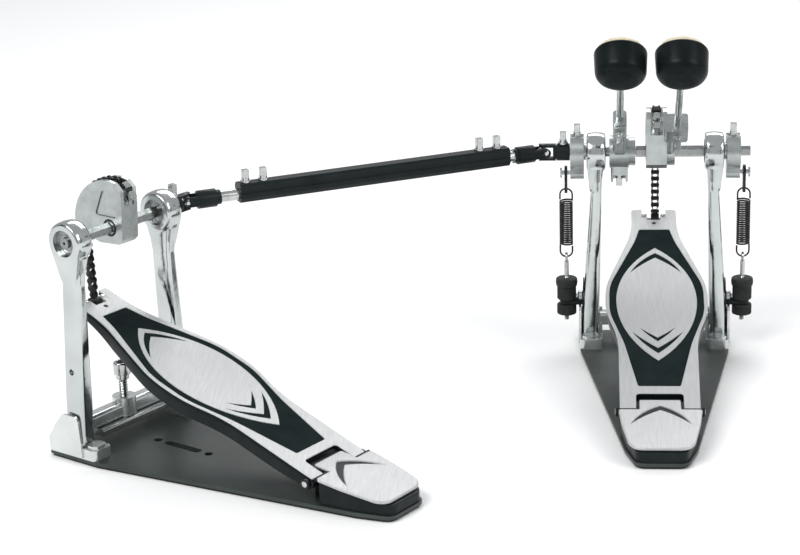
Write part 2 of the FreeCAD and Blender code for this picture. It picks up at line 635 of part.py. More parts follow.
def drive_tube():
    """A thick-topped extrusion with a slot along one side."""
    corners = [(-5.5, -6.6, 1.5), (5.5, -6.6, 1.5), (8.2, -2.5, 1.5), (8.2, 7, 1.5), (5.6, 9.8, 1.0),
               (-5.6, 9.8, 1.0), (-8.2, 7, 1.5), (-8.2, -2.5, 1.5)]
    body = cheek(corners, TUBE_FROM, TUBE_TO)
    bore = rod(SHAFT_ROD_R + RUN, Vector(TUBE_FROM - 1, 0, 0), Vector(TUBE_TO + 1, 0, 0))
    grooves = [box(TUBE_FROM - 1, TUBE_TO + 1, min(side * 7.4, side * 9), max(side * 7.4, side * 9),
                   1.2, 3.4) for side in (1, -1)]
    taps = [rod(2.4, Vector(x, 0, 4), Vector(x, 0, 12)) for x in tube_screw_places()]
    return body.cut(Part.makeCompound([bore] + grooves + taps))


def tube_screw_places():
    return (TUBE_FROM + 10, TUBE_FROM + 27, TUBE_TO - 23, TUBE_TO - 7)


def tube_screws():
    return [key_bolt(4.5).translated(Vector(x, 0, 9.8)) for x in tube_screw_places()]


# ---------------------------------------------------------------- where the secondary pedal stands
shaft_angle = math.radians(SHAFT_YAW)
slave_angle = math.radians(SLAVE_YAW)
far_joint = Vector(SHAFT_START_X - SHAFT_LEN * math.cos(shaft_angle),
                   -SHAFT_LEN * math.sin(shaft_angle), 0)
slave_origin = far_joint - Vector(math.cos(slave_angle), math.sin(slave_angle), 0) * SLAVE_JOINT_X


def to_slave(shape):
    return turned(shape, Z, SLAVE_YAW).translated(slave_origin)


def same(shape):
    return shape


# ---------------------------------------------------------------- the two pedals
axles = {"primary": primary_axle(), "secondary": secondary_axle()}
for pedal, place in (("primary", same), ("secondary", to_slave)):
    axle = axles[pedal]
    save(f"{pedal}_base_rubber", place(base_rubber()))
    save(f"{pedal}_base_plate", place(base_plate()))
    save(f"{pedal}_frame_casting", place(frame_casting()))
    save(f"{pedal}_left_post", place(post(-1)))
    save(f"{pedal}_right_post", place(post(1)))
    save(f"{pedal}_axle_bearings", *[place(bearing(x)) for x in (-HEAD_X, HEAD_X)])
    save(f"{pedal}_heel_block", place(heel_block()))
    save(f"{pedal}_heel_plate", place(heel_plate()))
    save(f"{pedal}_hinge_pin", place(hinge_pin()))
    save(f"{pedal}_clamp_jaw", place(clamp_jaw()))
    save(f"{pedal}_clamp_bolt", place(clamp_bolt()))
    save(f"{pedal}_footboard", *[place(piece) for piece in footboard() + [toe_pin()]])
    save(f"{pedal}_chain_drop", place(chain_drop()))
    save(f"{pedal}_chain_wrap", place(chain_wrap()))
    save(f"{pedal}_drive_cam", place(drive_cam(axle)), *[place(ring) for ring in cam_bushes(axle)])
    save(f"{pedal}_axle", place(axle))

# ---------------------------------------------------------------- beaters on the primary pedal
stub = stub_axle()
right_top, left_top = 54, 61
save("right_beater_holder", right_beater_holder(axles["primary"], right_top))
left_holder = left_beater_holder(stub, left_top)
save("left_beater_holder", left_holder.cut(axle_bar(5.5, -31.5, -23)), axle_bush())
for name, rod_x in (("right", RIGHT_BEATER_X), ("left", LEFT_BEATER_X)):
    save(f"{name}_beater_rod", beater_rod(rod_x))
    save(f"{name}_beater_head", beater_head(rod_x))
    save(f"{name}_beater_felt", beater_felt(rod_x))
save("left_stub_axle", stub)

# ---------------------------------------------------------------- springs on the primary pedal
bar = eye_rod()
for name, place in (("right", same), ("left", mirrored)):
    driven = axles["primary"] if name == "right" else mirrored(stub)
    save(f"{name}_spring_cam", place(spring_cam(driven)))
    save(f"{name}_spring_link", place(spring_link()))
    save(f"{name}_spring", place(spring()))
    save(f"{name}_spring_adjuster", *[place(piece) for piece in
                                      [bar, spring_bracket()] + tension_nuts(bar)])

# ---------------------------------------------------------------- drive shaft
primary_yoke = yoke(Z, 1.6, 12, 24, 7.7).translated(Vector(SHAFT_START_X, 0, AXLE_Z)).cut(stub)
yoke_screw_hole = rod(2.4, Vector(-82, 0, AXLE_Z + 4.8), Vector(-82, 0, AXLE_Z + 12))
save("primary_axle_yoke", primary_yoke.cut(yoke_screw_hole))
save("primary_joint_cross", joint_cross(SHAFT_YAW).translated(Vector(SHAFT_START_X, 0, AXLE_Z)))
near_fork, near_rod = shaft_fork(86)
save("drive_shaft_near_fork", to_shaft(fuse(near_fork, near_rod)))
save("drive_shaft_tube", to_shaft(drive_tube()))
save("drive_shaft_screws", *[to_shaft(screw) for screw in tube_screws()])

far_fork, far_rod = shaft_fork(116)
far = turned(fuse(far_fork, far_rod), Z, 180).translated(Vector(SHAFT_LEN, 0, 0))
save("drive_shaft_far_fork", to_shaft(far))
far_yoke = turned(yoke(Z, 1.6, 12, 19, 7.7), Z, 180).translated(Vector(SLAVE_JOINT_X, 0, AXLE_Z))
far_yoke = far_yoke.cut(axles["secondary"])
slave_screw_hole = rod(2.4, Vector(68, 0, AXLE_Z + 4.8), Vector(68, 0, AXLE_Z + 12))
save("secondary_axle_yoke", to_slave(far_yoke.cut(slave_screw_hole)))
bend = SHAFT_YAW - SLAVE_YAW
far_cross = joint_cross(bend).translated(Vector(SLAVE_JOINT_X, 0, AXLE_Z))
save("secondary_joint_cross", to_slave(far_cross))

# ---------------------------------------------------------------- drum-key screws, by moving body
save("primary_axle_screws", holder_screw(RIGHT_BEATER_X, right_top), spring_cam_screw(),
     *chain_end_screws())
hub_screw = turned(key_bolt(4.5), X, 180).translated(Vector(LEFT_BEATER_X, 0, AXLE_Z - 20))
save("left_stub_screws", holder_screw(LEFT_BEATER_X, left_top), hub_screw, mirrored(spring_cam_screw()),
     key_bolt(2.5).translated(Vector(-82, 0, AXLE_Z + 7.7)))
save("secondary_axle_screws", to_slave(key_bolt(2.5).translated(Vector(68, 0, AXLE_Z + 7.7))),
     *[to_slave(screw) for screw in chain_end_screws()])
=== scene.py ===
import json
import math
import random

import bmesh
import bpy
from mathutils import Matrix, Vector, noise


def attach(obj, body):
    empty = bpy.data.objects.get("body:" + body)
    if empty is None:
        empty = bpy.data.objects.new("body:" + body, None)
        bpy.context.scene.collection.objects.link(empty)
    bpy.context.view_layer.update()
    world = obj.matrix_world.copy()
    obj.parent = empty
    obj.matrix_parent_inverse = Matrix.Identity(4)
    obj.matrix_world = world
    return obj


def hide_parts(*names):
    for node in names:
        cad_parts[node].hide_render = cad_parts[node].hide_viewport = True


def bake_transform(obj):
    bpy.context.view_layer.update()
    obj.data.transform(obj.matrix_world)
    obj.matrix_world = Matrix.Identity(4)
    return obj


# Looks of a twin bass drum pedal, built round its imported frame.
# Shapes are written in millimetres in their own pedal's frame: +X the player's right, +Y the drum,
# +Z up, origin on the floor below the axle.  A place matrix turns them into metres in the row frame.

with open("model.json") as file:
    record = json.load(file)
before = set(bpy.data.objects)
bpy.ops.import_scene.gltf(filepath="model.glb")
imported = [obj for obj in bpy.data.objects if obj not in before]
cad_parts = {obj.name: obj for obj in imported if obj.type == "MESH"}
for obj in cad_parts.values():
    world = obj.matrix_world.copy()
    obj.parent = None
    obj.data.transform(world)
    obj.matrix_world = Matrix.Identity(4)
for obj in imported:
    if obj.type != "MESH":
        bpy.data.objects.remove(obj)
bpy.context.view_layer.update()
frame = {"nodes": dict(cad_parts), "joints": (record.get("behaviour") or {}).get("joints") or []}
joints = {joint["name"]: joint for joint in frame["joints"]}
nodes = frame["nodes"]

MM = 0.001
AXLE_Z = 185.0

# posts: middle of a post at its head and foot; between the two heights the column leans outwards
HEAD_X, FOOT_X = 52.5, 58.3
POST_FOOT_Z, POST_NECK_Z = 14.2, 150.0
POST_HOLE_X, POST_HOLE_Z = 63.0, 77.0
BEARING_R, CAST_VOXEL = 11.05, 0.7

# footboard: where its rear upper edge is, its slope in degrees, its sizes and its silver face
BOARD_Y, BOARD_Z, BOARD_LEAN = -224.4, 25.2, 19.7
BOARD_LEN, BOARD_T, SKIRT = 279.5, 4.0, 14.0
FACE_T = 1.0
EMBLEM_LOW, EMBLEM_WIDE, EMBLEM_TOP, EMBLEM_HALF = 63.0, 145.0, 221.0, 35.0
INLAY_RIGHT = [(17.6, 29.6, 1.8), (28.5, 86, 150), (40.9, 128, 70), (40.9, 166, 70), (17.6, 231, 120),
               (13.6, 249, 1.8)]
HEEL_NOTCH_HALF, HEEL_NOTCH_DEPTH = 19.5, 20.0
TOE_NOTCH_HALF, TOE_NOTCH_Y = 11.0, 264.0
TOE_SCREW_Y, TOE_STUD_X, TOE_STUD_Y = 259.0, 8.6, 271.4
KNUCKLE_X, KNUCKLE_Y, KNUCKLE_Z = 26.6, 3.7, -5.8
TOE_Y, TOE_Z = 33.5, 111.5             # the chain's pin, in the pedal's frame

# heel: the hinge and the sloping top of the block
HINGE_Y, HINGE_Z, HINGE_PIN_END = -219.0, 21.0, 36.6
HEEL_FRONT, HEEL_HEIGHT, HEEL_SLOPE = -226.5, 24.5, 0.18
LIP_X, LIP_HALF = 25.7, 8.4

# cam and chain: the chain's track, where its wrapped run starts in degrees, and its links
CAM_X, PITCH, PITCH_R = 1.2, 6.35, 38.5
CAM_LEFT, CAM_RIGHT = -9.34, 9.2       # the cam's faces, from its middle
WRAP_START, WRAP_LINKS = 21.0, 9

# beaters: their lean at rest in degrees, the head's distance from the axle, each rod's place
BEATER_LEAN, HEAD_MID, BEATER_R = 48.0, 158.0, 22.5
BEATERS = {"right": 18.8, "left": -31.7}

# return springs: the coil, its end arches and their open ends, and the eye they hang from
SPRING_X, SPRING_R, WIRE_R = 79.6, 6.35, 0.82
COIL_LOW, COIL_TOP, COIL_TURNS = 97.9, 139.7, 20
HOOK_TOP, HOOK_FOOT, HOOK_GAP = 150.8, 86.6, 1.2
EYE_Z, EYE_R = 86.2, 3.7

SHAFT_COLLAR_END = 0.030               # metres from a universal joint to the end of its black fork


# ---------------------------------------------------------------- places
def pedal_place(pedal):
    """From a pedal's own millimetres to the row frame, read from its axle's joint."""
    joint = joints[f"{pedal}_axle_turn"]
    x, y, _ = joint["pos_m"]
    across = joint["axis"]
    yaw = math.atan2(-across[1], -across[0])
    return Matrix.Translation((x, y, 0)) @ Matrix.Rotation(yaw, 4, "Z") @ Matrix.Scale(MM, 4)


def spin(degrees, axis, about=(0, 0, 0)):
    """A rotation about an axis through a point."""
    pivot = Matrix.Translation(about)
    return pivot @ Matrix.Rotation(math.radians(degrees), 4, axis) @ pivot.inverted()


PLACES = {pedal: pedal_place(pedal) for pedal in ("primary", "secondary")}
BOARD = Matrix.Translation((0, BOARD_Y, BOARD_Z)) @ Matrix.Rotation(math.radians(BOARD_LEAN), 4, "X")
LEAN = spin(BEATER_LEAN, "X", (0, 0, AXLE_Z))
MIRROR = Matrix.Scale(-1, 4, (1, 0, 0))
ALONG_X = Matrix.Rotation(math.radians(90), 4, "Y")    # turns +Z into +X
ALONG_Y = Matrix.Rotation(math.radians(-90), 4, "X")   # turns +Z into +Y
ON_SIDE = Matrix(((0, 0, 1, 0), (1, 0, 0, 0), (0, 1, 0, 0), (0, 0, 0, 1)))   # a plate drawn in Y and Z
TO_METRES = Matrix.Scale(MM, 4)


# ---------------------------------------------------------------- materials
def surface(name, light, dark, metallic, smooth, rough, patch, grain, relief,
            stretch=(1, 1, 1), extra=None):
    """A procedural finish: colour and roughness wander in patches, and fine grain gives relief.
    patch and grain are sizes in millimetres; stretch below 1 draws the grain out along that axis."""
    material = bpy.data.materials.new(name)
    material.use_nodes = True
    tree = material.node_tree
    shader = tree.nodes["Principled BSDF"]
    shader.inputs["Metallic"].default_value = metallic
    for socket, value in (extra or {}).items():
        shader.inputs[socket].default_value = value
    where = tree.nodes.new("ShaderNodeTexCoord")
    mapping = tree.nodes.new("ShaderNodeMapping")
    mapping.inputs["Scale"].default_value = stretch
    tree.links.new(where.outputs["Object"], mapping.inputs["Vector"])

    patches = tree.nodes.new("ShaderNodeTexNoise")
    patches.inputs["Scale"].default_value = 1 / (patch * MM)
    patches.inputs["Detail"].default_value = 5
    tree.links.new(mapping.outputs["Vector"], patches.inputs["Vector"])
    ramp = tree.nodes.new("ShaderNodeValToRGB")
    ramp.color_ramp.elements[0].position = 0.3
    ramp.color_ramp.elements[0].color = (*dark, 1)
    ramp.color_ramp.elements[1].position = 0.7
    ramp.color_ramp.elements[1].color = (*light, 1)
    tree.links.new(patches.outputs["Fac"], ramp.inputs["Fac"])
    tree.links.new(ramp.outputs["Color"], shader.inputs["Base Color"])

    grains = tree.nodes.new("ShaderNodeTexNoise")
    grains.inputs["Scale"].default_value = 1 / (grain * MM)
    grains.inputs["Detail"].default_value = 3
    tree.links.new(mapping.outputs["Vector"], grains.inputs["Vector"])
    spread = tree.nodes.new("ShaderNodeMapRange")
    spread.inputs["From Min"].default_value = 0.3
    spread.inputs["From Max"].default_value = 0.7
    spread.inputs["To Min"].default_value = smooth
    spread.inputs["To Max"].default_value = rough
    tree.links.new(grains.outputs["Fac"], spread.inputs["Value"])
    tree.links.new(spread.outputs["Result"], shader.inputs["Roughness"])
    bump = tree.nodes.new("ShaderNodeBump")
    bump.inputs["Strength"].default_value = relief
    bump.inputs["Distance"].default_value = grain * MM * 0.4
    tree.links.new(grains.outputs["Fac"], bump.inputs["Height"])
    tree.links.new(bump.outputs["Normal"], shader.inputs["Normal"])
    return material


CHROME = surface("polished_chrome", (0.60, 0.63, 0.62), (0.50, 0.53, 0.53), 1, 0.10, 0.20, 30, 9, 0.05)
PLATED = surface("plated_steel", (0.60, 0.61, 0.60), (0.44, 0.46, 0.46), 1, 0.14, 0.28, 6, 0.8, 0.10)
GROUND = surface("ground_steel", (0.38, 0.39, 0.38), (0.24, 0.26, 0.26), 1, 0.22, 0.36, 3, 0.5, 0.15)
SATIN_CAST = surface("satin_cast_metal", (0.50, 0.53, 0.52), (0.39, 0.42, 0.42), 1, 0.24, 0.38, 10, 0.7, 0.12)
CASTING = surface("frame_casting", (0.72, 0.75, 0.74), (0.62, 0.65, 0.64), 0.8, 0.16, 0.28, 30, 9, 0.04)
BRUSHED = surface("brushed_face", (0.56, 0.57, 0.57), (0.49, 0.50, 0.50), 0.6, 0.42, 0.58, 1.2, 0.45, 0.22,
                  stretch=(1, 0.06, 0.12))
BLACK_PAINT = surface("satin_black_paint", (0.011, 0.016, 0.017), (0.006, 0.009, 0.010), 0, 0.30, 0.42,
                      22, 0.8, 0.10, extra={"Specular IOR Level": 0.15})
BLACK_PLATE = surface("black_floor_plate", (0.044, 0.058, 0.053), (0.022, 0.030, 0.028), 0.2, 0.32, 0.46,
                      60, 0.7, 0.16)
INLAY = surface("black_inlay", (0.017, 0.024, 0.025), (0.012, 0.018, 0.019), 0, 0.42, 0.56, 14, 0.6, 0.20,
                extra={"Specular IOR Level": 0.0})
BLACK_STEEL = surface("blackened_steel", (0.030, 0.031, 0.030), (0.010, 0.011, 0.011), 0.6, 0.24, 0.42,
                      3, 0.5, 0.15)
BLACK_PLASTIC = surface("black_plastic", (0.008, 0.012, 0.012), (0.004, 0.006, 0.006), 0, 0.26, 0.36,
                        16, 0.6, 0.08, extra={"Specular IOR Level": 0.09})
RUBBER = surface("black_rubber", (0.014, 0.016, 0.016), (0.007, 0.008, 0.008), 0, 0.62, 0.85, 8, 0.5, 0.35)
FELT = surface("cream_felt", (0.78, 0.71, 0.54), (0.62, 0.54, 0.38), 0, 0.9, 1.0, 2.2, 0.35, 0.9,
               extra={"Sheen Weight": 0.3, "Sheen Roughness": 0.5})


# ---------------------------------------------------------------- outlines and solid shapes
def corner_circle(previous, corner, following):
    """Centre, first angle and turn of the arc that rounds a corner, or None where it stays as it is."""
    here, radius = Vector(corner[:2]), corner[2]
    before = (Vector(previous[:2]) - here).normalized()
    after = (Vector(following[:2]) - here).normalized()
    half = before.angle(after) / 2
    if radius <= 0 or half > math.radians(89.5):
        return None
    centre = here + (before + after).normalized() * (radius / math.sin(half))
    start = here + before * (radius / math.tan(half)) - centre
    end = here + after * (radius / math.tan(half)) - centre
    return centre, math.atan2(start.y, start.x), math.atan2(start.cross(end), start.dot(end))


def rounded(corners, steps=7):
    """Points of a closed outline through (a, b, radius) corners."""
    points = []
    for i, corner in enumerate(corners):
        arc = corner_circle(corners[i - 1], corner, corners[(i + 1) % len(corners)])
        if arc is None:
            points.append(Vector(corner[:2]))
            continue
        centre, first, turn = arc
        for k in range(steps + 1):
            angle = first + turn * k / steps
            points.append(centre + Vector((math.cos(angle), math.sin(angle))) * corner[2])
    return points


def softened(profile, steps=6):
    """A turned profile with its corners rounded: (radius, height, rounding) points, open at both ends."""
    points = [profile[0][:2]]
    for previous, corner, following in zip(profile, profile[1:], profile[2:]):
        arc = corner_circle(previous, corner, following)
        if arc is None:
            points.append(corner[:2])
            continue
        centre, first, turn = arc
        for k in range(steps + 1):
            angle = first + turn * k / steps
            points.append((centre.x + corner[2] * math.cos(angle), centre.y + corner[2] * math.sin(angle)))
    return points + [profile[-1][:2]]


def symmetric(right_side):
    """Corners of the right half, then the same corners mirrored to the left."""
    return right_side + [(-a, b, radius) for a, b, radius in reversed(right_side)]


def circle(radius, mid=(0, 0), sides=32):
    return [Vector((mid[0] + radius * math.cos(math.tau * i / sides),
                    mid[1] + radius * math.sin(math.tau * i / sides))) for i in range(sides)]


def bulge(start, end, depth, steps=8):
    """Points from start up to end along an arc that stands depth to the right of the straight line."""
    chord = end - start
    side = Vector((chord.y, -chord.x)).normalized()
    return [start + chord * (k / steps) + side * (4 * depth * (k / steps) * (1 - k / steps))
            for k in range(steps)]


def area(points):
    """Signed area of an outline, positive when it runs anticlockwise."""
    return sum(p.cross(q) for p, q in zip(points, points[1:] + points[:1])) / 2


def plate(outlines, low, high, edge):
    """A flat plate with rounded edges; outlines after the first are holes through it."""
    curve = bpy.data.curves.new("plate", "CURVE")
    curve.dimensions = "2D"
    curve.fill_mode = "BOTH"
    curve.bevel_depth = edge
    curve.bevel_resolution = 2
    curve.extrude = (high - low) / 2 - edge
    curve.offset = -edge
    for i, points in enumerate(outlines):
        if (area(points) > 0) == (i == 0):
            points = points[::-1]
        spline = curve.splines.new("POLY")
        spline.points.add(len(points) - 1)
        for target, p in zip(spline.points, points):
            target.co = (p.x, p.y, 0, 1)
        spline.use_cyclic_u = True
    carrier = bpy.data.objects.new("plate", curve)
    bpy.context.scene.collection.objects.link(carrier)
    bpy.context.view_layer.update()
    mesh = bpy.data.meshes.new_from_object(carrier.evaluated_get(bpy.context.evaluated_depsgraph_get()))
    middle = Vector((0, 0, (low + high) / 2))
    points = [v.co + middle for v in mesh.vertices]
    faces = [list(p.vertices) for p in mesh.polygons]
    bpy.data.objects.remove(carrier)
    bpy.data.curves.remove(curve)
    bpy.data.meshes.remove(mesh)
    return points, faces


def loft(rings):
    """Rings of equally many points joined into one closed body."""
    count = len(rings[0])
    points = [Vector(p) for ring in rings for p in ring]
    faces = []
    for r in range(len(rings) - 1):
        for i in range(count):
            a, b = r * count + i, r * count + (i + 1) % count
            faces.append([a, b, b + count, a + count])
    faces.append(list(range(count))[::-1])
    faces.append([(len(rings) - 1) * count + i for i in range(count)])
    return points, faces


def lathe(profile, sides=48, ripple=None):
    """Turns (radius, height) points about +Z; ripple(angle, radius, height) changes a radius."""
    rings = []
    for radius, height in profile:
        ring = []
        for i in range(sides):
            angle = math.tau * i / sides
            r = ripple(angle, radius, height) if ripple else radius
            ring.append((r * math.cos(angle), r * math.sin(angle), height))
        rings.append(ring)
    return loft(rings)


def ring_body(profile, sides=48):
    """Turns a closed (radius, height) outline about +Z into a ring."""
    points, faces = [], []
    count = len(profile)
    for i in range(sides):
        angle = math.tau * i / sides
        points += [Vector((r * math.cos(angle), r * math.sin(angle), h)) for r, h in profile]
    for i in range(sides):
        for j in range(count):
            k, n = (j + 1) % count, (i + 1) % sides
            faces.append([i * count + j, n * count + j, n * count + k, i * count + k])
    return points, faces


def sweep(path, radius, sides=10, closed=False):
    """A round wire along a path of points."""
    path = [Vector(p) for p in path]
    count = len(path)
    rings, normal = [], None
    for i, here in enumerate(path):
        if closed:
            along = (path[(i + 1) % count] - path[i - 1]).normalized()
        else:
            along = (path[min(i + 1, count - 1)] - path[max(i - 1, 0)]).normalized()
        if normal is None:
            normal = along.orthogonal()
        normal = (normal - along * normal.dot(along)).normalized()
        other = along.cross(normal)
        rings.append([here + (normal * math.cos(a) + other * math.sin(a)) * radius
                      for a in (math.tau * k / sides for k in range(sides))])
    if not closed:
        return loft(rings)
    points = [p for ring in rings for p in ring]
    faces = []
    for r in range(count):
        for k in range(sides):
            a, b = r * sides + k, r * sides + (k + 1) % sides
            c, d = ((r + 1) % count) * sides + (k + 1) % sides, ((r + 1) % count) * sides + k
            faces.append([a, b, c, d])
    return points, faces


def moved(shape, matrix):
    points, faces = shape
    flip = matrix.determinant() < 0
    return [matrix @ Vector(p) for p in points], [f[::-1] for f in faces] if flip else faces


def shifted(shape, x=0.0, y=0.0, z=0.0):
    return moved(shape, Matrix.Translation((x, y, z)))


def joined(shapes):
    points, faces = [], []
    for more_points, more_faces in shapes:
        faces += [[i + len(points) for i in face] for face in more_faces]
        points += more_points
    return points, faces


# ---------------------------------------------------------------- pieces
def piece(name, shape, place, material, bevel=0.0, crease=35):
    """A mesh object in the row frame with smooth faces and sharp edges only where it turns hard."""
    points, faces = moved(shape, place)
    mesh = bpy.data.meshes.new(name)
    mesh.from_pydata(points, [], faces)
    mesh.validate()
    mesh.materials.append(material)
    made = bpy.data.objects.new(name, mesh)
    bpy.context.scene.collection.objects.link(made)
    if bevel:
        add_bevel(made, bevel, 30)
        apply_modifiers(made)
    for polygon in made.data.polygons:
        polygon.use_smooth = True
    made.data.set_sharp_from_angle(angle=math.radians(crease))
    return made


def add_bevel(made, width, angle, segments=2):
    bevel = made.modifiers.new("edges", "BEVEL")
    bevel.width = width * MM
    bevel.segments = segments
    bevel.limit_method = "ANGLE"
    bevel.angle_limit = math.radians(angle)
    bevel.miter_outer = "MITER_ARC"
    return bevel


def apply_modifiers(made):
    """Keeps what the modifiers make of a mesh, and drops them."""
    bpy.context.view_layer.update()
    final = bpy.data.meshes.new_from_object(made.evaluated_get(bpy.context.evaluated_depsgraph_get()))
    made.modifiers.clear()
    made.data = final


def finish_node(node, material, bevel=0.3):
    """A CAD part whose shape is right: its edges are broken and it gets its real finish."""
    part = nodes[node]
    part.data.materials.clear()
    part.data.materials.append(material)
    weld = part.modifiers.new("weld", "WELD")
    weld.merge_threshold = 1e-6
    flats = part.modifiers.new("flats", "DECIMATE")
    flats.decimate_type = "DISSOLVE"
    flats.angle_limit = math.radians(0.6)
    add_bevel(part, bevel, 30)
    shade = part.modifiers.new("shade", "WEIGHTED_NORMAL")
    shade.weight = 80
    return part


# ---------------------------------------------------------------- footboards and heel plates
def board_outline(inset):
    """Corners of the footboard seen square on, moved in from its edge by inset."""
    return symmetric([(33 - inset, 0, 2), (33.5 - inset, 92, 120), (44.4 - inset, 129, 100),
                      (44.4 - inset, 165, 100), (20.3 - inset, 244, 120), (20.3 - inset, BOARD_LEN, 3)])


def board_half_width(y, inset):
    """Half the footboard's width at a distance from its heel."""
    right = [p for p in rounded(board_outline(inset), 14) if p.x > 0]
    for p, q in zip(right, right[1:]):
        if p.y <= y <= q.y:
            return p.x + (q.x - p.x) * (y - p.y) / max(q.y - p.y, 1e-6)
    return right[-1].x


def notched(inset=0.0):
    """The footboard's outline with the heel's notch and the toe's notch cut into it."""
    edge = [(a, min(b, BOARD_LEN - inset) if b else inset, r) for a, b, r in board_outline(inset)[:6]]
    heel = [(HEEL_NOTCH_HALF + inset, HEEL_NOTCH_DEPTH + inset, 3), (HEEL_NOTCH_HALF + inset, inset, 1)]
    toe = [(TOE_NOTCH_HALF + inset, BOARD_LEN - inset, 1), (TOE_NOTCH_HALF + inset, TOE_NOTCH_Y - inset, 2)]
    return rounded(symmetric(heel + edge + toe), 10)


def skirts():
    """The wall under each side of the footboard; it gets shallower towards the toe and the heel."""
    levels = [4.0, 8.0] + [12.5 + 5 * k for k in range(51)]
    outline = ([Vector((board_half_width(y, 1.2), y)) for y in levels]
               + [Vector((board_half_width(y, 4.4), y)) for y in reversed(levels)])
    points, faces = plate([outline], -SKIRT, -BOARD_T + 0.05, 0.6)
    for p in points:
        rise = max((p.y - 215) / 62, (45 - p.y) / 75, 0)
        if p.z < -BOARD_T - 1:
            p.z = max(p.z, -SKIRT + 7.5 * min(rise, 1) ** 1.5)
    return [(points, faces), moved((points, faces), MIRROR)]


def ogive():
    """The pointed oval in the middle of the footboard, from four arcs."""
    def half_width(s):
        reach = (EMBLEM_TOP if s > EMBLEM_WIDE else EMBLEM_LOW) - EMBLEM_WIDE
        radius = (EMBLEM_HALF ** 2 + reach ** 2) / (2 * EMBLEM_HALF)
        return EMBLEM_HALF - radius + math.sqrt(radius ** 2 - (s - EMBLEM_WIDE) ** 2)
    steps = 28
    levels = [EMBLEM_LOW + (EMBLEM_TOP - EMBLEM_LOW) * k / steps for k in range(steps + 1)]
    right = [Vector((max(half_width(s), 0), s)) for s in levels]
    return right + [Vector((-p.x, p.y)) for p in reversed(right[1:-1])]


def chevron(half, tip, outer, inner, bow):
    """A slim arrow: its arms end in points at (half, tip) and meet at outer and inner on the middle line."""
    sign = 1 if outer > tip else -1
    left, right = Vector((-half, tip)), Vector((half, tip))
    top, low = Vector((0, outer)), Vector((0, inner))
    return (bulge(left, top, -bow * sign) + bulge(top, right, -bow * sign)
            + bulge(right, low, bow * 0.45 * sign) + bulge(low, left, bow * 0.45 * sign))


def footboards():
    """Silver face with a window, black inlay in it, pointed emblem, black skirts and the small parts."""
    window = rounded(symmetric(INLAY_RIGHT), 10)
    screw_hole = circle(1.9, (0, TOE_SCREW_Y), 20)
    face = plate([notched(), window, screw_hole], -FACE_T, 0, 0.45)
    bands = [chevron(22.5, 184.5, 213.5, 206.5, 2.6), chevron(15.5, 107.5, 88.5, 93.8, 0.8),
             chevron(22.0, 102.0, 72.5, 79.8, 1.6)]
    emblem = plate([ogive()] + bands, -FACE_T, -0.15, 0.3)

    core = plate([notched(0.5)], -BOARD_T, -FACE_T + 0.02, 0.3)
    knuckle = lathe([(4.4, -6.5), (5.6, -5.6), (5.6, 5.6), (4.4, 6.5)], 36)
    knuckles = [shifted(moved(knuckle, ALONG_X), side * KNUCKLE_X, KNUCKLE_Y, KNUCKLE_Z)
                for side in (1, -1)]
    cross_wall = plate([rounded([(-28, 21, 0.5), (28, 21, 0.5), (28, 23.4, 0.5), (-28, 23.4, 0.5)])],
                       -10.5, -BOARD_T + 0.05, 0.4)
    studs = [shifted(lathe([(1.7, 0), (1.7, 0.7), (1.3, 1.1), (0.01, 1.2)], 20), side * TOE_STUD_X,
                     TOE_STUD_Y, -0.2) for side in (1, -1)]
    stud_pads = [plate([rounded([(side * TOE_STUD_X - 2.6, TOE_NOTCH_Y, 0.5),
                                 (side * TOE_STUD_X + 2.6, TOE_NOTCH_Y, 0.5),
                                 (side * TOE_STUD_X + 2.6, TOE_NOTCH_Y + 10, 2.4),
                                 (side * TOE_STUD_X - 2.6, TOE_NOTCH_Y + 10, 2.4)])], -3, -0.3, 0.3)
                 for side in (1, -1)]
    toe_pin = shifted(moved(lathe([(1.2, -17.5), (2, -16.8), (2, 16.8), (1.2, 17.5)], 24), ALONG_X),
                      0, TOE_Y, TOE_Z)
    screw = shifted(lathe([(1.7, -1.2), (1.7, -0.3), (1.3, 0), (0.9, -0.05), (0.01, -0.6)], 24),
                    0, TOE_SCREW_Y, -0.2)
    for pedal, place in PLACES.items():
        lay = place @ BOARD
        made = [
            piece(f"{pedal}_footboard_body", joined([cross_wall] + skirts() + knuckles), lay, BLACK_PAINT),
            piece(f"{pedal}_footboard_inlay", core, lay, INLAY),
            piece(f"{pedal}_footboard_face", joined([face] + stud_pads), lay, BRUSHED),
            piece(f"{pedal}_footboard_emblem", emblem, lay, BRUSHED),
            piece(f"{pedal}_toe_screw", screw, lay, BLACK_STEEL),
            piece(f"{pedal}_toe_studs", joined(studs), lay, PLATED),
            piece(f"{pedal}_toe_pin", toe_pin, place, PLATED),
        ]
        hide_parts(f"{pedal}_footboard")
        for part in made:
            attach(part, f"{pedal}_footboard")


def heel_top(y):
    """Height of the heel block's sloping top."""
    return HEEL_HEIGHT + (y - HEEL_FRONT) * HEEL_SLOPE


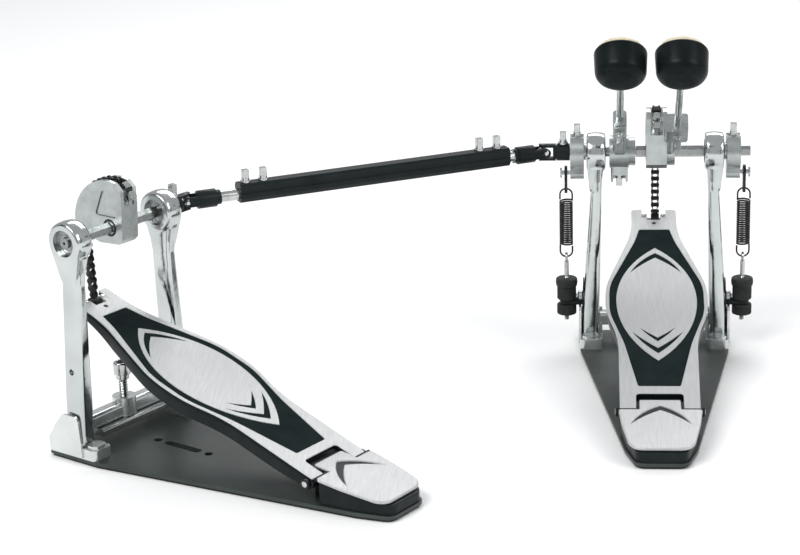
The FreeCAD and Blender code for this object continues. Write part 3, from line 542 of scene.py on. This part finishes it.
def heel_plates():
    """The heel rest: a rounded silver plate that slopes to the rear, with a tongue into the footboard."""
    outline = rounded(symmetric([(25, -287, 13), (32, -250, 40), (34.2, -228.6, 2), (17, -228.6, 0),
                                 (17, -212.6, 2)]), 9)
    mark = chevron(24, -250, -222, -229.5, 3.2)
    points, faces = plate([outline, mark], -2.6, 0, 0.8)
    tilted = []
    for p in points:
        drop = max(0.0, (p.y - HINGE_Y) / 6) * 0.9         # the tongue dips past the hinge
        tilted.append(Vector((p.x, p.y, p.z + heel_top(p.y) + 3.1 - drop)))
    under = plate([rounded([(15, -255, 3), (28, -255, 3), (28, -232, 3), (18, -226, 1), (18, -206.5, 1),
                            (-18, -206.5, 1), (-18, -226, 1), (-28, -232, 3), (-28, -255, 3),
                            (-15, -255, 3)])], -1.6, -0.6, 0.2)
    lips = [plate([rounded([(side * LIP_X - LIP_HALF, -228.5, 0.4), (side * LIP_X + LIP_HALF, -228.5, 0.4),
                            (side * LIP_X + LIP_HALF, -226.7, 0.4), (side * LIP_X - LIP_HALF, -226.7, 0.4)])],
                  -2.6, 0.35, 0.2) for side in (1, -1)]
    under = joined([under] + lips)
    tip = moved(lathe([(0.01, 0), (2.5, 0), (2.5, 0.2), (2.1, 0.4), (0.01, 0.4)], 28), ALONG_X)
    tips = [shifted(tip, HINGE_PIN_END, HINGE_Y, HINGE_Z)]
    tips.append(moved(tips[0], MIRROR))
    backing = [Vector((p.x, p.y, p.z + heel_top(min(p.y, HINGE_Y)) + 2.4)) for p in under[0]]
    for pedal, place in PLACES.items():
        made = piece(f"{pedal}_heel_rest", (tilted, faces), place, BRUSHED)
        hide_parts(f"{pedal}_heel_plate")
        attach(made, f"{pedal}_frame")
        dark = piece(f"{pedal}_heel_backing", (backing, under[1]), place, BLACK_PAINT)
        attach(dark, f"{pedal}_frame")
        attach(piece(f"{pedal}_hinge_pin_tips", joined(tips), place, PLATED),
                f"{pedal}_frame")


# ---------------------------------------------------------------- posts
def superellipse(mid_x, z, half_x, half_y, sides=48, power=0.56):
    """A ring between an ellipse and a rectangle, for a cast column."""
    ring = []
    for i in range(sides):
        c, s = math.cos(math.tau * i / sides), math.sin(math.tau * i / sides)
        ring.append((mid_x + half_x * math.copysign(abs(c) ** power, c),
                     half_y * math.copysign(abs(s) ** power, s), z))
    return ring


def post_mesh():
    """The right post: a tapering column, a round head and the flat on its outer side, cast as one."""
    levels = [(14.3, 7.7, 10.2), (55, 7.7, 10.2), (110, 6.3, 10.1), (150, 5.2, 10.1), (160, 5.8, 11.4),
              (168, 6.6, 13.4), (173, 7.2, 14.6)]
    rings = []
    for z, half_x, half_y in levels:
        share = max(0.0, (POST_NECK_Z - z) / (POST_NECK_Z - POST_FOOT_Z))
        rings.append(superellipse(HEAD_X + (FOOT_X - HEAD_X) * share, z, half_x, half_y))
    head = [(15.0, -8.5), (16.3, -7.9), (17.2, -5.5), (17.6, 0), (17.3, 5.0), (16.6, 7.6), (15.4, 8.4)]
    barrel = shifted(moved(lathe(head, 72), ALONG_X), HEAD_X, 0, AXLE_Z)
    tear = [(0, -38.5, 8), (7.6, -35, 8), (15.6, -6, 0)]
    tear += [(16.2 * math.cos(a), 16.2 * math.sin(a), 0)
             for a in (math.radians(10 * k) for k in range(19))]
    tear += [(-15.6, -6, 0), (-7.6, -35, 8)]
    flat_points, flat_faces = plate([rounded(tear)], -5, 8.3, 0.8)
    for p in flat_points:                      # its inner side slants outwards as it goes down
        if p.z < 2:
            p.z += max(0.0, -13 - p.y) / 25 * 10
        else:                                  # and its outer side runs into the column
            p.z -= max(0.0, -8 - p.y) / 30 * 2.7
    flat = moved((flat_points, flat_faces), Matrix.Translation((HEAD_X, 0, AXLE_Z)) @ ON_SIDE)
    points, faces = moved(joined([loft(rings), barrel, flat]), TO_METRES)
    mesh = bpy.data.meshes.new("post")
    mesh.from_pydata(points, [], faces)
    made = bpy.data.objects.new("post_source", mesh)
    bpy.context.scene.collection.objects.link(made)
    remesh = made.modifiers.new("cast", "REMESH")
    remesh.mode = "VOXEL"
    remesh.voxel_size = CAST_VOXEL * MM
    smooth = made.modifiers.new("soften", "SMOOTH")
    smooth.factor = 0.6
    smooth.iterations = 7
    bore = piece("bore_cutter", shifted(moved(lathe([(BEARING_R, -20), (BEARING_R, 20)], 64), ALONG_X),
                                        HEAD_X, 0, AXLE_Z), TO_METRES, CHROME)
    hole = piece("hole_cutter", shifted(moved(lathe([(2.6, -6), (2.6, 6)], 24), ALONG_X),
                                        POST_HOLE_X, 0, POST_HOLE_Z), TO_METRES, CHROME)
    for cutter in (bore, hole):
        cut = made.modifiers.new("cut", "BOOLEAN")
        cut.operation = "DIFFERENCE"
        cut.object = cutter
        cut.solver = "EXACT"
    apply_modifiers(made)
    shape = ([v.co / MM for v in made.data.vertices], [list(p.vertices) for p in made.data.polygons])
    for spare in (made, bore, hole):
        bpy.data.objects.remove(spare)
    return shape


def posts():
    """The same cast post on all four places, mirrored on the left."""
    shape = post_mesh()
    for pedal, place in PLACES.items():
        for side, turn in (("right", Matrix.Identity(4)), ("left", MIRROR)):
            made = piece(f"{pedal}_{side}_cast_post", moved(shape, turn), place, CHROME,
                         crease=50)
            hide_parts(f"{pedal}_{side}_post")
            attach(made, f"{pedal}_frame")


# ---------------------------------------------------------------- chains
def on_cam(degrees):
    """A point on the chain's track round the cam."""
    angle = math.radians(degrees)
    return Vector((CAM_X, PITCH_R * math.cos(angle), AXLE_Z + PITCH_R * math.sin(angle)))


def link_plates(start, end, outer):
    """The two waisted side plates of one link."""
    along = end - start
    turn = math.atan2(along.z, along.y)
    lobe, waist, length = 2.75, 1.85, along.length
    outline = []
    for k in range(13):
        angle = math.radians(40 + 280 * k / 12)
        outline.append(Vector((lobe * math.cos(angle), lobe * math.sin(angle))))
    outline.append(Vector((length / 2, -waist)))
    for k in range(13):
        angle = math.radians(-140 + 280 * k / 12)
        outline.append(Vector((length + lobe * math.cos(angle), lobe * math.sin(angle))))
    outline.append(Vector((length / 2, waist)))
    flat = plate([outline], -0.42, 0.42, 0.15)
    shape = moved(flat, Matrix.Translation(start) @ Matrix.Rotation(turn, 4, "X") @ ON_SIDE)
    reach = 2.95 if outer else 2.0
    return [shifted(shape, side * reach) for side in (1, -1)]


def chain(pins, first_outer, bare_pins=0):
    """Links between the pins; the first bare_pins pins belong to the run before."""
    roller = moved(lathe([(1.2, -3.8), (1.5, -3.5), (1.5, -1.5), (1.95, -1.4), (1.95, 1.4), (1.5, 1.5),
                          (1.5, 3.5), (1.2, 3.8)], 18), ALONG_X)
    shapes = [moved(roller, Matrix.Translation(pin)) for pin in pins[bare_pins:]]
    for i in range(len(pins) - 1):
        shapes += link_plates(pins[i], pins[i + 1], (i % 2 == 0) == first_outer)
    return shapes


def chains():
    """Two rigid runs per pedal: one on the cam, one from there down to the toe pin."""
    step = 2 * math.degrees(math.asin(PITCH / 2 / PITCH_R))
    wrapped = [on_cam(WRAP_START + step * i) for i in range(WRAP_LINKS)]
    lay = [on_cam(WRAP_START - step * i) for i in range(3)]
    toe = Vector((CAM_X, TOE_Y, TOE_Z))
    up = (lay[-1] - toe).normalized()
    top = toe + up * 8
    count = round((lay[-1] - top).length / PITCH)
    hang = [lay[-1] + (top - lay[-1]) * (i / count) for i in range(1, count + 1)]
    clevis = ring_body([(4.4, -3.6), (6.0, -3.6), (6.0, 3.6), (4.4, 3.6)], 36)
    clevis = shifted(moved(clevis, ALONG_X), CAM_X, TOE_Y, TOE_Z)
    neck = sweep([toe + up * 5.2, toe + up * 8.5], 2.4, 16)
    drop = joined(chain(lay + hang, False) + [clevis, neck])
    for pedal, place in PLACES.items():
        on = piece(f"{pedal}_chain_on_cam", joined(chain(wrapped, True, 1)), place, BLACK_STEEL)
        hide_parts(f"{pedal}_chain_wrap")
        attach(on, f"{pedal}_axle")
        off = piece(f"{pedal}_chain_hanging", drop, place, BLACK_STEEL)
        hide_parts(f"{pedal}_chain_drop")
        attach(off, f"{pedal}_chain")


# ---------------------------------------------------------------- beaters
def felt_pad():
    """A dense felt disc with a domed, slightly uneven face."""
    radius, back, front = BEATER_R - 3.6, 5.0, 17.3
    profile = softened([(0.01, back, 0), (radius - 0.6, back, 0.8), (radius, 12, 0),
                        (radius - 0.4, front - 1, 4.5), (0.01, front, 0)], 8)
    fine = []
    for (r0, h0), (r1, h1) in zip(profile, profile[1:]):
        pieces = max(1, round(math.hypot(r1 - r0, h1 - h0) / 1.3))
        fine += [(r0 + (r1 - r0) * k / pieces, h0 + (h1 - h0) * k / pieces) for k in range(pieces)]
    fine.append(profile[-1])
    points, faces = lathe(fine, 90)
    rough = []
    for p in points:
        grain = noise.noise(p * 0.9) * 0.32 + noise.noise(p * 0.25) * 0.35
        rough.append(p + Vector((p.x, p.y, 0)).normalized() * grain + Vector((0, 0, grain * 0.6)))
    return rough, faces


def felt_fuzz(seed):
    """Short stray fibres round the rim of the felt."""
    chance = random.Random(seed)
    shapes = []
    for _ in range(420):
        angle = chance.uniform(0, math.tau)
        out = Vector((math.cos(angle), math.sin(angle), 0))
        height = chance.uniform(11.4, 16.6)
        reach = BEATER_R - 3.9 - max(0.0, height - 14) * 0.7
        start = out * reach + Vector((0, 0, height))
        lean = out * chance.uniform(0.4, 1.3) + Vector((chance.uniform(-0.5, 0.5), chance.uniform(-0.5, 0.5),
                                                        chance.uniform(-0.2, 0.9)))
        shapes.append(sweep([start, start + lean * 0.6, start + lean * 1.0 + out * 0.1], 0.05, 3))
    return joined(shapes)


def beaters():
    """Plastic shell, felt and stray fibres on each rod."""
    shell = softened([(0.01, -18, 0), (9, -17.7, 0), (BEATER_R - 1.3, -16.9, 10.5), (BEATER_R, 11.6, 3.2),
                      (BEATER_R - 3.5, 11.6, 0), (BEATER_R - 3.5, 5, 0), (0.01, 5, 0)], 10)
    collar = lathe([(4.9, -24.2), (5.4, -23.6), (5.4, -20), (4.4, -17)], 32)
    for side, rod_x in BEATERS.items():
        forward = LEAN @ Matrix.Translation((rod_x, 0, AXLE_Z + HEAD_MID))
        head = piece(f"{side}_beater_shell", joined([moved(lathe(shell, 96), ALONG_Y), collar]),
                     PLACES["primary"] @ forward, BLACK_PLASTIC)
        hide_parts(f"{side}_beater_head")
        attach(head, f"{side}_beater")
        pad = piece(f"{side}_beater_pad", moved(felt_pad(), ALONG_Y), PLACES["primary"] @ forward, FELT,
                    crease=80)
        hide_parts(f"{side}_beater_felt")
        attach(pad, f"{side}_beater")
        fuzz = piece(f"{side}_felt_fibres", moved(felt_fuzz(len(side)), ALONG_Y),
                     PLACES["primary"] @ forward, FELT, crease=80)
        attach(fuzz, f"{side}_beater")
        finish_node(f"{side}_beater_rod", CHROME, 0.5)


# ---------------------------------------------------------------- return springs and their adjusters
def spring_shape():
    """One wire: an arch at the foot, the coil and an arch at the top."""
    coil_r = SPRING_R - WIRE_R
    per_turn = 22
    steps = COIL_TURNS * per_turn + per_turn // 2
    path = []
    for k in range(steps + 1):
        angle = math.tau * k / per_turn
        path.append(Vector((coil_r * math.cos(angle), coil_r * math.sin(angle),
                            COIL_LOW + (COIL_TOP - COIL_LOW) * k / steps)))

    def arch(height, sign, start):
        """The end turn bent up along the axis, as wide as the coil."""
        return [Vector((start * coil_r * math.cos(a), 0, height + sign * coil_r * math.sin(a)))
                for a in (math.radians(7.5 * k) for k in range(25))]

    top = arch(HOOK_TOP - coil_r, 1, -1) + [Vector((coil_r, 0, COIL_TOP + HOOK_GAP))]
    foot = arch(HOOK_FOOT + coil_r, -1, 1) + [Vector((-coil_r, 0, COIL_LOW - HOOK_GAP))]
    return sweep(foot[::-1] + path + top, WIRE_R, 8)


def knurled(radius, low, high, count=40, depth=0.35):
    """A round knob with fine ribs on its rim."""
    def ripple(angle, r, height):
        deep = r > radius - 0.3 and low + 1.2 < height < high - 1.2
        return r - (depth if deep and math.cos(angle * count) < 0 else 0)
    profile = [(0.01, low), (radius - 1.1, low), (radius - 0.3, low + 0.4), (radius, low + 1.1),
               (radius, low + 1.6), (radius, high - 1.6), (radius, high - 1.1), (radius - 0.3, high - 0.4),
               (radius - 1.1, high), (0.01, high)]
    return lathe(profile, count * 4, ripple)


def threaded(radius, low, high, turn=0.9, depth=0.28):
    """A screwed bar: its radius rises and falls along its length."""
    profile = [(0.01, low), (radius - 0.4, low)]
    steps = int((high - low) / turn)
    for k in range(steps):
        profile += [(radius - depth, low + turn * (k + 0.25)), (radius, low + turn * (k + 0.75))]
    profile += [(radius - 0.4, high), (0.01, high)]
    return lathe(profile, 20)


def adjusters():
    """Return springs, and the bracket, eye bolt, knob and lower nut that set each one's tension."""
    eye = [Vector((SPRING_X, EYE_R * math.cos(a), EYE_Z + EYE_R * math.sin(a)))
           for a in (math.tau * k / 32 for k in range(32))]
    shank = lathe([(0.01, 68), (2.2, 68), (2.2, 80), (2.0, 83), (0.01, 83)], 24)
    eye_bolt = joined([sweep(eye, 1.25, 12, closed=True), shifted(shank, SPRING_X),
                       shifted(threaded(2.15, 26, 68.5), SPRING_X)])
    cap = softened([(0.01, 58.6, 0), (9.4, 58.6, 1.2), (10, 62.5, 0), (9.6, 66.4, 1.6), (0.01, 66.5, 0)])
    knob = joined([shifted(lathe(cap, 64), SPRING_X), shifted(knurled(8.7, 46.2, 58.8), SPRING_X)])
    nut = shifted(knurled(8.9, 32.0, 41.6, 30, 0.5), SPRING_X)
    arm = plate([rounded([(65.1, -6, 2), (86, -6, 5.5), (86, 6, 5.5), (65.1, 6, 2)]),
                 circle(2.6, (SPRING_X, 0))], 41.9, 45.8, 0.5)
    boss = moved(lathe([(4.2, 64.9), (5, 65.6), (5, 68.4), (4.2, 69.3), (2.6, 69.5), (2.6, 71), (0.01, 71.2)],
                       36), Matrix.Translation((0, 0, 48.6)) @ ALONG_X)
    pad = moved(plate([rounded([(-5.4, -17, 5), (5.4, -17, 5), (5.4, 17, 5), (-5.4, 17, 5)])], 0, 2.6, 0.5),
                Matrix.Translation((62.6, 0, 49)) @ Matrix.Rotation(math.radians(-2.3), 4, "Y") @ ON_SIDE)
    coil = spring_shape()
    primary = PLACES["primary"]
    for side, turn in (("right", Matrix.Identity(4)), ("left", MIRROR)):
        place = primary @ turn
        rod = piece(f"{side}_eye_bolt", eye_bolt, place, PLATED)
        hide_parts(f"{side}_spring_adjuster")
        made = [rod,
                piece(f"{side}_tension_knob", knob, place, RUBBER),
                piece(f"{side}_tension_nut", nut, place, RUBBER),
                piece(f"{side}_spring_bracket", arm, place, BLACK_PAINT),
                piece(f"{side}_bracket_bolt", boss, place, SATIN_CAST),
                piece(f"{side}_bracket_pad", pad, place, RUBBER)]
        for part in made:
            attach(part, "primary_frame")
        wire = piece(f"{side}_return_spring", shifted(coil, SPRING_X), place, BLACK_STEEL,
                     crease=60)
        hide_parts(f"{side}_spring")
        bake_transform(wire)


# ---------------------------------------------------------------- clamp screws, cam washers, shaft forks
def clamp_screws():
    """The hoop clamp's screw: a threaded shank under a drum-key head."""
    head = softened([(0.01, 51, 0), (5.6, 51, 0.6), (5.6, 55, 0), (7.2, 55.4, 0.5), (7.2, 65.9, 1.4),
                     (4.4, 65.9, 0.4), (4.2, 61, 0), (0.01, 61, 0)])
    shape = joined([threaded(3.9, 13.7, 51.5, 2.3, 0.8), lathe(head, 40)])
    for pedal, place in PLACES.items():
        made = piece(f"{pedal}_clamp_screw", shifted(shape, 0, 6), place, PLATED)
        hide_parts(f"{pedal}_clamp_bolt")
        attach(made, f"{pedal}_clamp")


def cam_washers():
    """The dark ring where the axle enters each face of the drive cam."""
    ring = moved(ring_body([(5.3, 0), (7.2, 0), (7.2, 0.14), (5.3, 0.14)], 40), ALONG_X)
    for pedal, place in PLACES.items():
        pair = joined([shifted(ring, x, 0, AXLE_Z) for x in (CAM_X + CAM_LEFT, CAM_X + CAM_RIGHT)])
        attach(piece(f"{pedal}_cam_washers", pair, place, BLACK_STEEL), f"{pedal}_axle")


def cut_at(node, point, towards):
    """The part of a CAD node's mesh on the far side of a plane, closed where it was cut."""
    mesh = bmesh.new()
    mesh.from_mesh(nodes[node].data)
    mesh.transform(nodes[node].matrix_world)
    bmesh.ops.remove_doubles(mesh, verts=mesh.verts, dist=1e-6)
    bmesh.ops.bisect_plane(mesh, geom=mesh.verts[:] + mesh.edges[:] + mesh.faces[:], dist=1e-7,
                           plane_co=point, plane_no=towards, clear_inner=True)
    bmesh.ops.holes_fill(mesh, edges=[edge for edge in mesh.edges if edge.is_boundary])
    bmesh.ops.recalc_face_normals(mesh, faces=mesh.faces[:])
    mesh.verts.index_update()
    shape = [v.co.copy() for v in mesh.verts], [[v.index for v in face.verts] for face in mesh.faces]
    mesh.free()
    return shape


def shaft_forks():
    """Black fork and collar, bright round bar: one CAD node each, parted where the collar ends."""
    shaft = joints["drive_shaft_turn"]
    along = Vector(shaft["axis"]).normalized()
    for node, body, joint, out in (("drive_shaft_near_fork", "drive_shaft", shaft, along),
                                   ("drive_shaft_far_fork", "far_fork", joints["far_fork_turn"], -along)):
        cut = Vector(joint["pos_m"]) + out * SHAFT_COLLAR_END
        fork = piece(f"{body}_black_fork", cut_at(node, cut, -out), Matrix.Identity(4), BLACK_PAINT,
                     0.4)
        bar = piece(f"{body}_bright_bar", cut_at(node, cut, out), Matrix.Identity(4), PLATED)
        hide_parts(node)
        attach(fork, body)
        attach(bar, body)


# ---------------------------------------------------------------- parts whose CAD shape is kept
def carried_over():
    """CAD parts of the right shape: broken edges and a real finish."""
    finishes = {
        "base_rubber": (RUBBER, 0.3), "base_plate": (BLACK_PLATE, 0.5), "frame_casting": (CASTING, 0.7),
        "axle_bearings": (GROUND, 0.2), "heel_block": (BLACK_PAINT, 0.8), "hinge_pin": (BLACK_STEEL, 0.3),
        "clamp_jaw": (PLATED, 0.4), "drive_cam": (SATIN_CAST, 0.5),
        "axle": (GROUND, 0.3), "axle_screws": (PLATED, 0.3), "axle_yoke": (BLACK_PAINT, 0.5),
        "joint_cross": (PLATED, 0.2),
    }
    for pedal in PLACES:
        for part, (material, bevel) in finishes.items():
            finish_node(f"{pedal}_{part}", material, bevel)
    for side in BEATERS:
        finish_node(f"{side}_beater_holder", SATIN_CAST, 0.6)
        finish_node(f"{side}_spring_cam", SATIN_CAST, 0.7)
        finish_node(f"{side}_spring_link", BLACK_STEEL, 0.3)
    finish_node("left_stub_axle", GROUND, 0.3)
    finish_node("left_stub_screws", PLATED, 0.3)
    finish_node("drive_shaft_tube", BLACK_PAINT, 0.5)
    finish_node("drive_shaft_screws", PLATED, 0.3)


# ---------------------------------------------------------------- studio
def camera():
    """The viewpoint: in front of the primary pedal and a little to its left, looking down."""
    position = Vector((-0.0481, -1.8816, 0.6758))
    yaw, pitch, roll = (math.radians(a) for a in (-5.61, -17.86, -1.82))
    forward = Vector((math.sin(yaw) * math.cos(pitch), math.cos(yaw) * math.cos(pitch), math.sin(pitch)))
    right = Vector((math.cos(yaw), -math.sin(yaw), 0))
    up = right.cross(forward)
    across = right * math.cos(roll) + up * math.sin(roll)
    above = up * math.cos(roll) - right * math.sin(roll)
    data = bpy.data.cameras.new("camera")
    data.sensor_width = 36.0
    data.lens = 96.86
    made = bpy.data.objects.new("camera", data)
    bpy.context.scene.collection.objects.link(made)
    made.matrix_world = Matrix.Translation(position) @ Matrix((across, above, -forward)).transposed().to_4x4()
    bpy.context.scene.camera = made


def soft_light(name, at, towards, size, watts):
    """A rectangular area light at one point, aimed at another."""
    data = bpy.data.lights.new(name, "AREA")
    data.shape = "RECTANGLE"
    data.size, data.size_y = size
    data.energy = watts
    made = bpy.data.objects.new(name, data)
    bpy.context.scene.collection.objects.link(made)
    made.location = at
    made.rotation_mode = "QUATERNION"
    made.rotation_quaternion = (Vector(at) - Vector(towards)).to_track_quat("Z", "Y")


def plain(name, colour, roughness):
    material = bpy.data.materials.new(name)
    material.use_nodes = True
    shader = material.node_tree.nodes["Principled BSDF"]
    shader.inputs["Base Color"].default_value = (*colour, 1)
    shader.inputs["Roughness"].default_value = roughness
    return material


def dark_card(name, x, y, width, height, low):
    """A dark panel beside the set that only reflections see, for the streaks in polished metal."""
    half = width / 2
    mesh = bpy.data.meshes.new(name)
    mesh.from_pydata([(-half, 0, low), (half, 0, low), (half, 0, low + height), (-half, 0, low + height)],
                     [], [(0, 1, 2, 3)])
    mesh.materials.append(plain(name, (0.03, 0.035, 0.035), 1.0))
    card = bpy.data.objects.new(name, mesh)
    bpy.context.scene.collection.objects.link(card)
    card.location = (x, y, 0)
    card.rotation_euler = (0, 0, math.atan2(y, x) + math.pi / 2)
    card.visible_camera = False
    card.visible_diffuse = False
    card.visible_shadow = False


def studio():
    """White floor and world, three soft lights and the dark cards."""
    mesh = bpy.data.meshes.new("floor")
    reach = 9.0
    mesh.from_pydata([(-reach, -reach, 0), (reach, -reach, 0), (reach, reach, 0), (-reach, reach, 0)], [],
                     [(0, 1, 2, 3)])
    mesh.materials.append(plain("pale_floor", (0.97, 0.97, 0.97), 0.8))
    floor = bpy.data.objects.new("floor", mesh)
    bpy.context.scene.collection.objects.link(floor)
    floor.location = (0, 0, -0.0003)
    world = bpy.data.worlds.new("studio")
    world.use_nodes = True
    sky = world.node_tree.nodes["Background"]
    sky.inputs["Color"].default_value = (0.97, 0.98, 1.0, 1)
    sky.inputs["Strength"].default_value = 0.53
    bpy.context.scene.world = world
    soft_light("key", (-1.4, -1.6, 2.2), (-0.15, 0, 0.1), (1.6, 1.0), 46)
    soft_light("fill", (1.7, -1.0, 1.4), (0, 0, 0.1), (1.2, 1.2), 17)
    soft_light("back", (0.2, 1.8, 1.8), (-0.1, 0, 0.1), (2.2, 0.8), 22)
    dark_card("card_left", -1.9, -0.55, 0.45, 1.6, 0.05)
    dark_card("card_right", 1.8, -0.5, 0.40, 1.6, 0.05)
    dark_card("card_front_left", -1.0, -2.6, 0.35, 1.3, 0.0)
    dark_card("card_front_right", 0.9, -2.5, 0.30, 1.3, 0.0)
    view = bpy.context.scene.view_settings
    view.view_transform = "Standard"
    view.look = "None"
    view.exposure = 0.0


footboards()
heel_plates()
posts()
chains()
beaters()
adjusters()
clamp_screws()
cam_washers()
shaft_forks()
carried_over()
camera()
studio()
